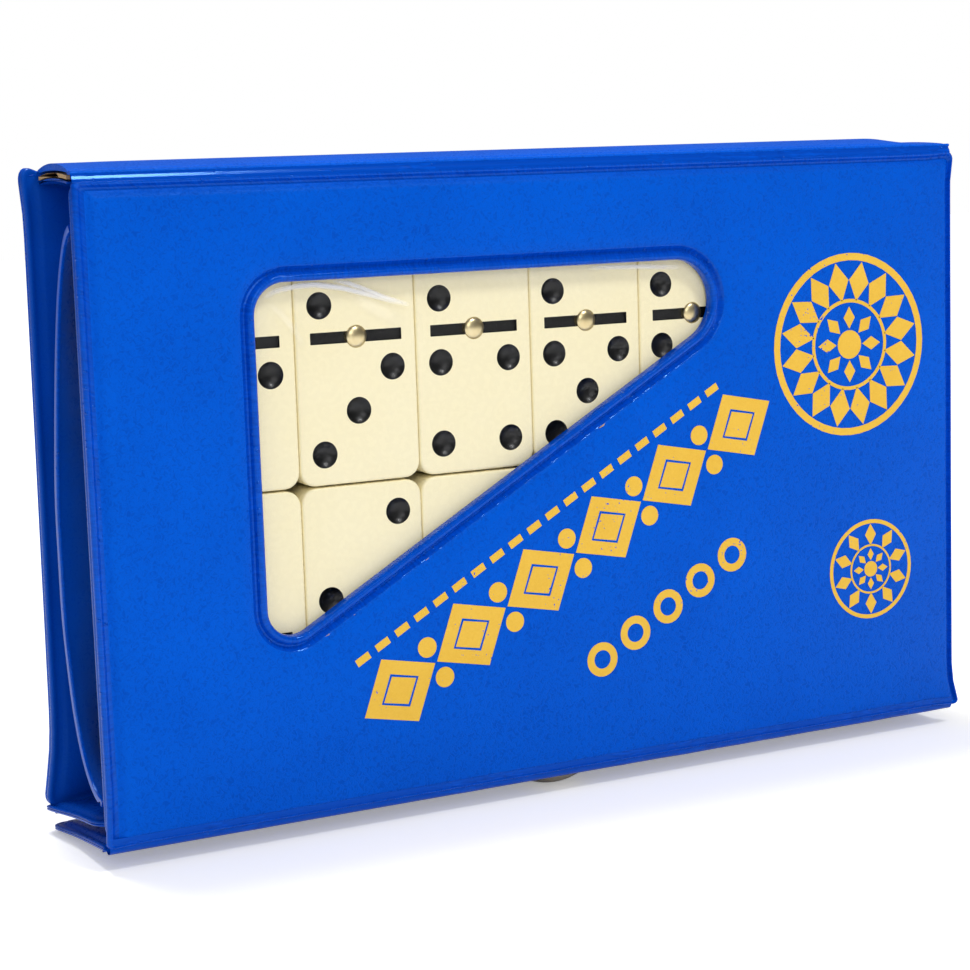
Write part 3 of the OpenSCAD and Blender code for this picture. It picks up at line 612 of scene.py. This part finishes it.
def thickened(path, width):
    # Section of a sheet that follows a path of (y, z), as wide as width on its left
    inner = []
    for i, (y, z) in enumerate(path):
        a, b = path[max(i - 1, 0)], path[min(i + 1, len(path) - 1)]
        way = Vector((b[0] - a[0], b[1] - a[1])).normalized()
        inner.append((y - way.y * width, z + way.x * width))
    return list(path) + inner[::-1]


# The folds stop short of both ends; the snap pushes one up within its reach
foldLook = {"short": 0.15, "step": 2.0, "uneven": 0.05, "snapReach": 8}


def makeFold(name, path, width, seed, lift=0.0):
    # Vinyl that joins two panels over a fold, along a path in the model's (y, z); the snap lifts it by lift
    sections = []
    uneven = foldLook["uneven"]
    for x in between(case["left"] + foldLook["short"], case["right"] - foldLook["short"], foldLook["step"]):
        raised = lift * math.exp(-(x / foldLook["snapReach"]) ** 4)
        sections.append([(x, y + uneven * wave(seed, x, y, 8), z + uneven * wave(seed + 9, x, z, 8) + raised)
                         for y, z in thickened(path, width)])
    fold = tube(name, sections)
    dress(fold, weldVinyl)
    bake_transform(fold)


def foldPlace(fold, *points):
    return [atFold(fold, 0, y, z)[1:] for y, z in points]


spinePath = foldPlace("spine", (-0.95, -1.35), (-1.0, -0.95), (-0.85, -0.55), (-0.6, -0.25), (-0.5, 0.05),
                      (-0.45, 0.35))
makeFold("spineFold", spinePath, -0.45, 11)
backPath = foldPlace("spine", (27.0, 0.25), (27.4, 0.62), (27.9, 0.95), (28.4, 1.05), (28.95, 0.9),
                     (29.35, 0.5), (29.6, 0.0), (29.72, -0.6), (29.8, -1.3))
makeFold("backFold", backPath, -0.5, 12)
stripPath = (foldPlace("back", (1.3, -118.2), (1.42, -118.9), (1.5, -119.6))
             + arc(folds["strip"], 1.5, 0, -92, 8)
             + foldPlace("strip", (-1.0, -1.32), (-2.2, -1.12), (-3.2, -1.0)))
makeFold("stripFold", stripPath, -0.5, 13)
flapPath = (foldPlace("front", (0.25, 6.4), (0.22, 5.8), (0.4, 5.2))
            + arc(folds["flap"], 1.25, 180, 290, 9)
            + foldPlace("flap", (1.1, -0.5), (1.7, -0.1), (2.2, -0.5), (2.8, -1.1), (3.4, -1.3)))
makeFold("flapFold", flapPath, 0.5, 14, 1.3)
print("spine and folds made")

# Pocket

pocket = {"high": 121.549, "low": 10.349, "depth": 21.0, "round": 1.5, "sheet": 0.5, "margin": 1.3,
          "mouthDepth": 17.0, "sag": 0.25, "upper": 6.0, "lower": 2.4, "mouth": case["left"] + 0.72,
          "filled": -79.55, "end": 94.85, "steps": 48, "wall": 0.16, "bend": 0.1, "loose": 0.35, "hem": 1.0}


def boxPoint(share, grow):
    # Section of the filled pocket, from its upper edge to its lower one: depth and z; share runs over a wall,
    # a bend, the back, a bend and a wall
    p = pocket
    r, depth, high, low = p["round"] + grow, p["depth"] + grow, p["high"] + grow, p["low"] - grow
    wall, bend = p["wall"], p["bend"]
    near = min(share, 1 - share)
    level, inward = (high, -1) if share <= 0.5 else (low, 1)
    if near <= wall:
        return ((depth - r) * near / wall, level)
    if near <= wall + bend:
        a = math.radians(90 * (near - wall) / bend)
        return (depth - r + r * math.sin(a), level + inward * r * (1 - math.cos(a)))
    t = (share - wall - bend) / (1 - 2 * (wall + bend))
    return (depth, high - r + (low + r - high + r) * t)


def lensPoint(share, grow):
    # Section of the mouth, which sags below
    p = pocket
    a = math.pi * share
    high, low = p["high"] - p["upper"] + grow, p["low"] + p["lower"] - grow
    return ((p["mouthDepth"] + grow) * math.sin(a) * (1 - p["sag"] * math.cos(a)),
            (high + low) / 2 + (high - low) / 2 * math.cos(a))


def pocketPoint(x, share, grow):
    fill = ease((x - case["left"]) / (pocket["filled"] - case["left"]))
    lens, box = lensPoint(share, grow), boxPoint(share, grow)
    depth, z = [a + (b - a) * fill for a, b in zip(lens, box)]
    loose = pocket["loose"] * (1 - fill) * math.sin(math.pi * share)
    depth += loose * wave(21, x * 0.5, z, 16)
    return (x, case["front"] + case["cover"] + depth, z)


def pocketSection(x, inner, outer):
    # The sheet, from 0 to outer, with its two weld margins, or the hem outside it, from another inner
    steps = [i / pocket["steps"] for i in range(pocket["steps"] + 1)]
    face = case["front"] + case["cover"]
    path = [pocketPoint(x, s, inner) for s in steps]
    back = [pocketPoint(x, s, outer) for s in steps]
    if inner == 0:
        top, low = back[0][2], back[-1][2]
        m = pocket["margin"]
        path = [(x, face + 0.02, top + m)] + path + [(x, face + 0.02, low - m)]
        back = ([(x, face + outer, top + m)] + [(x, max(y, face + outer), z) for _, y, z in back]
                + [(x, face + outer, low - m)])
    else:
        path = [(x, max(y, face + 0.5), z) for _, y, z in path]
        back = [(x, max(y, face + 0.9), z) for _, y, z in back]
    return path + back[::-1]


sheetPlaces = between(pocket["mouth"], pocket["filled"], 1.2)
sheetPlaces += between(pocket["filled"], pocket["end"], 6.0)[1:]
pocketSheet = tube("pocketSheet", [pocketSection(x, 0, pocket["sheet"]) for x in sheetPlaces])
dress(pocketSheet, innerVinyl)
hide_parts("pocket_sheet")
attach(pocketSheet, "front_cover")
# The hem closes over the sheet's end, then lies outside it
hemPlaces = [(0.05, 0.25), (0.12, -0.1), (0.35, -0.22), (0.7, -0.22)]
hemPlaces = [(case["left"] + x, inner) for x, inner in hemPlaces]
hemPlaces += [(x, 0.56) for x in between(pocket["mouth"], case["left"] + 4, 1)]
pocketHem = tube("pocketHem", [pocketSection(x, inner, pocket["hem"]) for x, inner in hemPlaces])
dress(pocketHem, weldVinyl)
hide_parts("pocket_hem")
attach(pocketHem, "front_cover")
print("pocket made")

# Window film

filmLook = {"depth": 2.78, "lap": 1.9, "step": 0.8, "across": (-62, 34), "up": (40, 105), "waves": 0.055,
            "fan": 0.075, "fanRise": 5, "fanStart": 5, "fanReach": 26, "folds": 9, "thick": 0.12}
# Painted highlights, white streaks along the film's folds where the lamps would glint: places in (x, z) that
# they pass, half width and strength
creaseHighlights = {"creaseA": ([(-60.2, 101.9), (-57.8, 103.0), (-53.8, 103.6), (-50.2, 103.7), (-44.6, 102.8),
                        (-38.9, 101.2), (-32.4, 99.2)], 0.75, 0.7),
           "creaseB": ([(-46.5, 104.3), (-43.3, 103.6), (-40.5, 102.5), (-36.1, 100.6), (-31, 98.9)],
                       0.7, 0.6),
           "creaseC": ([(-60.6, 101.2), (-57.5, 99.2), (-55.0, 96.2), (-52.5, 92)], 1.2, 0.06),
           "creaseD": ([(-44.0, 102.6), (-40, 99.8), (-36, 97.5), (-32, 95.6)], 2.4, 0.06),
           "creaseE": ([(8, 103.9), (20.2, 103.5), (29.6, 102.9)], 0.7, 0.4)}


def creaseHighlightAt(points, width, strength, x, z):
    # Distance from a painted highlight's line, signed and in half widths, and the highlight's strength, which
    # fades towards both ends
    line = lengths([(a, b, 0) for a, b in points])
    best = None
    for i, (a, b) in enumerate(zip(points, points[1:])):
        way = Vector(b) - Vector(a)
        off = Vector((x, z)) - Vector(a)
        t = off.dot(way) / way.length_squared
        side = (off.x * way.y - off.y * way.x) / way.length
        away = (off - way * min(max(t, 0), 1)).length
        if best is None or away < best[0]:
            share = min(max((line[i] + t * way.length) / line[-1], 0), 1)
            best = (away, side / width, strength * math.sin(math.pi * share) ** 0.7)
    return best[1:] + (0.0,)


def makeFilm():
    # Clear sheet, drawn taut but not flat: low waves, and fine folds that fan out from the upper left corner
    f = filmLook
    ring = windowRing(f["lap"], (30, 40, 60))
    deselect()
    bpy.ops.mesh.primitive_circle_add(vertices=len(ring), radius=1, fill_type="NGON")
    obj = bpy.context.object
    obj.name = obj.data.name = "windowFilm"
    for vertex, (x, z) in zip(obj.data.vertices, ring):
        vertex.co = Vector((x, case["front"] + f["depth"], z)) * mm
    editing(obj)
    cuts = [((x, 0, 0), (1, 0, 0)) for x in between(*f["across"], f["step"])]
    cuts += [((0, 0, z), (0, 0, 1)) for z in between(*f["up"], f["step"])]
    for place, way in cuts:
        bpy.ops.mesh.select_all(action="SELECT")
        bpy.ops.mesh.bisect(plane_co=[c * mm for c in place], plane_no=way)
    leaveEditing()
    cx, cz = window["corner"]
    for vertex in obj.data.vertices:
        x, z = vertex.co.x / mm, vertex.co.z / mm
        off = Vector((x - cx, z - cz - f["fanRise"]))
        fan = math.sin(f["folds"] * math.atan2(off.y, off.x)) * min(off.length / f["fanStart"], 1)
        fan *= math.exp(-off.length / f["fanReach"])
        low = 0.6 * wave(31, x * 0.4, z, 13) + 0.4 * wave(32, x, z * 0.6, 22)
        vertex.co.y += (f["waves"] * low + f["fan"] * fan) * mm
    # Every point keeps its distance from each painted highlight's line, for the material to paint white
    for name, crease in creaseHighlights.items():
        marks = obj.data.attributes.new(name, "FLOAT_VECTOR", "POINT")
        for vertex in obj.data.vertices:
            marks.data[vertex.index].vector = creaseHighlightAt(*crease, vertex.co.x / mm, vertex.co.z / mm)
    thick = obj.modifiers.new("thick", "SOLIDIFY")
    thick.thickness = f["thick"] * mm
    thick.offset = 0
    bpy.ops.object.modifier_apply(modifier="thick")
    return smooth(obj, 60)


windowFilm = makeFilm()
dress(windowFilm, film)
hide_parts("window_film")
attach(windowFilm, "front_cover")
print("film made")

# Tiles and pins

tile = {"w": 24.65, "l": 55.0, "t": 10.0, "corner": 3.0, "edge": 0.55, "pip": 5.1, "pipDeep": 1.15,
        "side": 7.3, "middle": 13.9, "pitch": 7.8, "barL": 18.7, "barW": 2.2, "barDeep": 0.6,
        "barRound": 0.12, "pin": 4.3, "pinHigh": 0.27}
pips = {0: [], 1: [(0, 0)], 2: [(-1, -1), (1, 1)], 3: [(-1, -1), (0, 0), (1, 1)],
        4: [(-1, -1), (-1, 1), (1, -1), (1, 1)], 5: [(-1, -1), (-1, 1), (0, 0), (1, -1), (1, 1)],
        6: [(-1, -1), (-1, 0), (-1, 1), (1, -1), (1, 0), (1, 1)]}
# Each row's lower edge, its depth behind the cover's face, and its tiles from the left
rows = {"front_upper": (66.149, 3.3, [(2, 2), (2, 3), (2, 4), (2, 5), (2, 6), (3, 3), (3, 4)]),
        "front_lower": (10.749, 3.3, [(1, 0), (2, 0), (3, 0), (4, 0), (5, 0), (6, 0), (0, 0)]),
        "back_upper": (66.149, 13.6, [(1, 1), (1, 2), (1, 3), (1, 4), (1, 5), (1, 6), (3, 5)]),
        "back_lower": (10.749, 13.6, [(3, 6), (4, 4), (4, 5), (4, 6), (5, 5), (5, 6), (6, 6)])}
firstTile, tilePitch = -79.15, 24.8


def tileBlank():
    # Block with its face towards -Y, its middle at the origin: long edges rounded, then the rims
    t = tile
    deselect()
    bpy.ops.mesh.primitive_cube_add(size=mm)
    blank = bpy.context.object
    blank.scale = (t["w"], t["t"], t["l"])
    applyPlace()
    editing(blank)
    selectEdges(blank, lambda a, b: abs(a.y - b.y) > t["t"] / 2)
    bpy.ops.mesh.bevel(offset=t["corner"] * mm, segments=6, affect="EDGES")
    selectEdges(blank, lambda a, b: abs(a.y - b.y) < 0.01 and abs(abs(a.y) - t["t"] / 2) < 0.01)
    bpy.ops.mesh.bevel(offset=t["edge"] * mm, segments=4, affect="EDGES")
    leaveEditing()
    dress(blank, tilePlastic)
    return blank


def pipCutter():
    # Dished disc: a ball cut by the tile's face
    t = tile
    r = (t["pip"] ** 2 / 4 + t["pipDeep"] ** 2) / (2 * t["pipDeep"])
    deselect()
    bpy.ops.mesh.primitive_uv_sphere_add(segments=32, ring_count=24, radius=r * mm,
                                         location=(0, (-t["t"] / 2 + t["pipDeep"] - r) * mm, 0),
                                         rotation=(math.pi / 2, 0, 0))
    cutter = bpy.context.object
    applyPlace()
    dress(cutter, pipPaint)
    return cutter


def barCutter():
    t = tile
    deselect()
    bpy.ops.mesh.primitive_cube_add(size=mm, location=(0, -t["t"] / 2 * mm, 0))
    cutter = bpy.context.object
    cutter.scale = (t["barL"], 2 * t["barDeep"], t["barW"])
    applyPlace()
    editing(cutter)
    selectEdges(cutter, lambda a, b: abs(a.y - b.y) > 0.5)
    bpy.ops.mesh.bevel(offset=t["barRound"] * mm, segments=2, affect="EDGES")
    leaveEditing()
    dress(cutter, pipPaint)
    return cutter


def makePin():
    # Head on the tile's face, as low as the film leaves room for, with a skirt into the bar's groove; its UV
    # map holds the place from the pin's middle
    t = tile
    face, steps, turns = -t["t"] / 2, 7, 36
    profile = [(t["pin"] / 2 * math.sin(a), face - t["pinHigh"] * math.cos(a) ** 1.2)
               for a in [math.pi / 2 * i / steps for i in range(steps + 1)]]
    profile.append((t["pin"] / 2, face + t["barDeep"]))
    rings = [[(r * math.cos(a), y, r * math.sin(a)) for a in [2 * math.pi * i / turns for i in range(turns)]]
             for r, y in profile]
    pin = wrapGrid("pin", rings, finish=(brass,))
    closeEdges(pin)
    for loop in pin.data.loops:
        place = pin.data.vertices[loop.vertex_index].co
        pin.data.uv_layers[0].data[loop.index].uv = (place.x, place.z)
    return smooth(pin, 50)


def cut(obj, cutter):
    choose(obj)
    cuts = obj.modifiers.new("cuts", "BOOLEAN")
    cuts.operation, cuts.object, cuts.solver = "DIFFERENCE", cutter, "EXACT"
    cuts.material_mode = "TRANSFER"
    bpy.ops.object.modifier_apply(modifier="cuts")
    bpy.data.objects.remove(cutter)


def makeTiles():
    blank, pip, bar, pin = tileBlank(), pipCutter(), barCutter(), makePin()
    for row, (low, depth, values) in rows.items():
        body = "tiles_" + row
        pins = []
        for column, halves in enumerate(values):
            x = firstTile + column * tilePitch + tilePitch / 2
            y = case["front"] + depth + tile["t"] / 2
            z = low + tile["l"] / 2
            made = copyOf(blank, shift(x, y, z))
            made.name = made.data.name = "tile%d%d" % halves
            cutters = [copyOf(bar, shift(x, y, z))]
            for value, up in zip(halves, (tile["middle"], -tile["middle"])):
                cutters += [copyOf(pip, shift(x + side * tile["side"], y, z + up + step * tile["pitch"]))
                            for side, step in pips[value]]
            cut(made, joined("cutters", *cutters))
            smooth(made, 32)
            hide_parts("tile_%d_%d" % halves)
            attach(made, body)
            pins.append(copyOf(pin, shift(x, y, z)))
        pins = joined("pins" + row.title().replace("_", ""), *pins)
        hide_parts("pins_" + row)
        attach(pins, body)
    for obj in (blank, pip, bar, pin):
        bpy.data.objects.remove(obj)


makeTiles()
print("tiles made")

# Gold print on the front: rows of figures along the window's long side, and two rosettes

ink = {"sunk": 0.01, "thick": 0.05}
# Figures: corners, width, height, rim round an opening and turn
figures = {"lozenge": (4, 17.5, 15, 2.7), "core": (4, 8, 6.6), "disc": (24, 5, 5), "hoop": (48, 38, 38, 1.5),
           "dash": (4, 4.4, 2.1, 0, 45), "petal": (4, 7.4, 4.6), "ringlet": (24, 7, 7, 1.6)}
# Rows along the window's long side: figure, number, first place, step, distance from that side and size
band = [("lozenge", 6, 9, 18, 21, 1), ("core", 6, 9, 18, 21, 1), ("disc", 5, 18, 18, 17.4, 0.8),
        ("disc", 5, 18, 18, 24.6, 0.8), ("dash", 20, 6, 4.8, 11.2, 1), ("ringlet", 5, 48, 9, 43, 1)]
# Rosettes: place in (x, z), size and number of outer petals
rosettes = [(69, 85, 1.0, 16), (74, 37, 0.56, 10)]


def inkShape(corners, width, height, hole=0.0, turn=0.0):
    # Flat figure in (x, z) with its middle at the origin; hole is the width of the rim left round an opening
    deselect()
    bpy.ops.mesh.primitive_circle_add(vertices=corners, radius=mm, fill_type="NGON",
                                      rotation=(math.pi / 2, math.radians(turn), 0))
    shape = bpy.context.object
    applyPlace()
    shape.scale = (width / 2, 1, height / 2)
    applyPlace()
    if hole:
        editing(shape)
        bpy.ops.mesh.select_all(action="SELECT")
        bpy.ops.mesh.inset(thickness=hole * mm)
        bpy.ops.mesh.delete(type="FACE")
        leaveEditing()
    return shape


def makePrint():
    shapes = {name: inkShape(*figure) for name, figure in figures.items()}
    made = []

    def stamp(name, x, z, turn, size):
        # Copy of a figure, turned against the clock and set on the cover's face
        placing = (shift(x, case["front"] + ink["sunk"], z) @ Matrix.Rotation(math.radians(-turn), 4, "Y")
                   @ Matrix.Diagonal((size, 1, size, 1)))
        made.append(copyOf(shapes[name], placing))

    def wreath(x, z, count, first, radius, size):
        for turn in [360 * (i + first) / count for i in range(count)]:
            a = math.radians(turn)
            stamp("petal", x + math.cos(a) * radius, z + math.sin(a) * radius, turn, size)

    slope = window["slope"]
    a = math.radians(slope)
    startX = window["foot"][0] + window["footR"] * math.sin(a)
    startZ = window["foot"][1] - window["footR"] * math.cos(a)
    for name, count, first, step, off, size in band:
        for along in [first + i * step for i in range(count)]:
            stamp(name, startX + along * math.cos(a) + off * math.sin(a),
                  startZ + along * math.sin(a) - off * math.cos(a), slope, size)
    for x, z, size, count in rosettes:
        for name, share in (("hoop", 1), ("hoop", 0.5), ("disc", 1.2)):
            stamp(name, x, z, 0, share * size)
        wreath(x, z, count, 0.5, 13.2 * size, 1.1 * size)
        wreath(x, z, 8, 0, 5.6 * size, 0.62 * size)
    for shape in shapes.values():
        bpy.data.objects.remove(shape)
    whole = joined("goldPrint", *made)
    thick = whole.modifiers.new("thick", "SOLIDIFY")
    thick.thickness, thick.offset = (ink["thick"] + ink["sunk"]) * mm, 1
    bpy.ops.object.modifier_apply(modifier="thick")
    dress(whole, goldInk)
    return whole


goldPrint = makePrint()
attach(goldPrint, "front_cover")
print("print made")

# Camera, floor and lights

view = {"place": (-217.35, -400.5, 124.95), "right": (0.88411, -0.46615, -0.03242),
        "up": (0.09394, 0.10934, 0.98956), "forward": (0.45774, 0.87792, -0.14045), "lens": 84.32}
# Strengths of the room and of its reflection, the floor's colour, its glow near and far and where in metres
# that begins and ends, and the lamps: place, size and watts
studio = {"room": 0.4, "reflected": 0.12, "floor": 0.86, "glow": (0.33, 0.8), "glowPlaces": (0.15, 0.8),
          "aim": (0, 0, 0.06), "lamps": {"keyLamp": ((0.28, -0.75, 1.2), 0.3, 6.5),
                                         "fillLamp": ((-0.35, -1.1, 0.6), 0.7, 2.9),
                                         "topLamp": ((-0.1, 0.3, 1.4), 0.35, 12)}}


def makeCamera():
    data = bpy.data.cameras.new("camera")
    data.sensor_width = 36
    data.lens = view["lens"]
    data.clip_start = 0.01
    camera = bpy.data.objects.new("camera", data)
    bpy.context.scene.collection.objects.link(camera)
    turn = Matrix((view["right"], view["up"], [-a for a in view["forward"]])).transposed().to_4x4()
    camera.matrix_world = shift(*view["place"]) @ turn
    bpy.context.scene.camera = camera


def seenByCamera(tree):
    # 1 for what the camera sees, through the film too, and 0 for light on its way round the room
    rays = addNode(tree, "ShaderNodeLightPath").outputs
    straight = {0: rays["Is Camera Ray"], 1: rays["Is Transmission Ray"]}
    return rays, addNode(tree, "ShaderNodeMath", straight, operation="MAXIMUM").outputs[0]


def makeWorld():
    world = bpy.data.worlds.new("studio")
    bpy.context.scene.world = world
    world.use_nodes = True
    tree = world.node_tree
    tree.nodes.clear()
    rays, seen = seenByCamera(tree)
    # Shiny pieces reflect a darker room, so that the lamps stand out in them
    level = addNode(tree, "ShaderNodeMapRange", {
        "Value": rays["Is Glossy Ray"], "To Min": studio["room"], "To Max": studio["reflected"]})
    room, white = [addNode(tree, "ShaderNodeBackground", {"Color": (1, 1, 1, 1), "Strength": strength})
                   for strength in (level.outputs[0], 1)]
    both = addNode(tree, "ShaderNodeMixShader", {0: seen, 1: room.outputs[0], 2: white.outputs[0]})
    addNode(tree, "ShaderNodeOutputWorld", {"Surface": both.outputs[0]})


def makeFloor():
    bpy.ops.mesh.primitive_plane_add(size=6, location=(0, 0, 0))
    floor = bpy.context.object
    floor.name = "floor"
    # Matt paper that glows towards the camera, most far from the case, so that it fades into the white room;
    # the weaker glow near the case leaves the case's shadow there darker, a painted shade
    material, tree, shader = newMaterial("Studio floor, matt white")
    shader.inputs["Base Color"].default_value = (studio["floor"],) * 3 + (1,)
    shader.inputs["Roughness"].default_value = 1
    shader.inputs["Specular IOR Level"].default_value = 0
    shader.inputs["Emission Color"].default_value = (1, 1, 1, 1)
    place = addNode(tree, "ShaderNodeTexCoord").outputs["Object"]
    away = addNode(tree, "ShaderNodeVectorMath", {0: place}, operation="LENGTH")
    near, far = studio["glowPlaces"]
    least, most = studio["glow"]
    glow = addNode(tree, "ShaderNodeMapRange", {
        "Value": away.outputs["Value"], "From Min": near, "From Max": far, "To Min": least, "To Max": most})
    seen = seenByCamera(tree)[1]
    level = addNode(tree, "ShaderNodeMath", {0: seen, 1: glow.outputs[0]}, operation="MULTIPLY")
    tree.links.new(level.outputs[0], shader.inputs["Emission Strength"])
    dress(floor, material)


def addLamp(name, place, size, watts):
    data = bpy.data.lights.new(name, "AREA")
    data.shape = "DISK"
    data.size = size
    data.energy = watts
    lamp = bpy.data.objects.new(name, data)
    bpy.context.scene.collection.objects.link(lamp)
    way = Vector(studio["aim"]) - Vector(place)
    lamp.matrix_world = Matrix.Translation(place) @ way.to_track_quat("-Z", "Y").to_matrix().to_4x4()


makeCamera()
makeWorld()
makeFloor()
for name, lamp in studio["lamps"].items():
    addLamp(name, *lamp)
bpy.context.scene.view_settings.view_transform = "Standard"
print("camera, floor and lights made")

# End

bpy.context.view_layer.update()
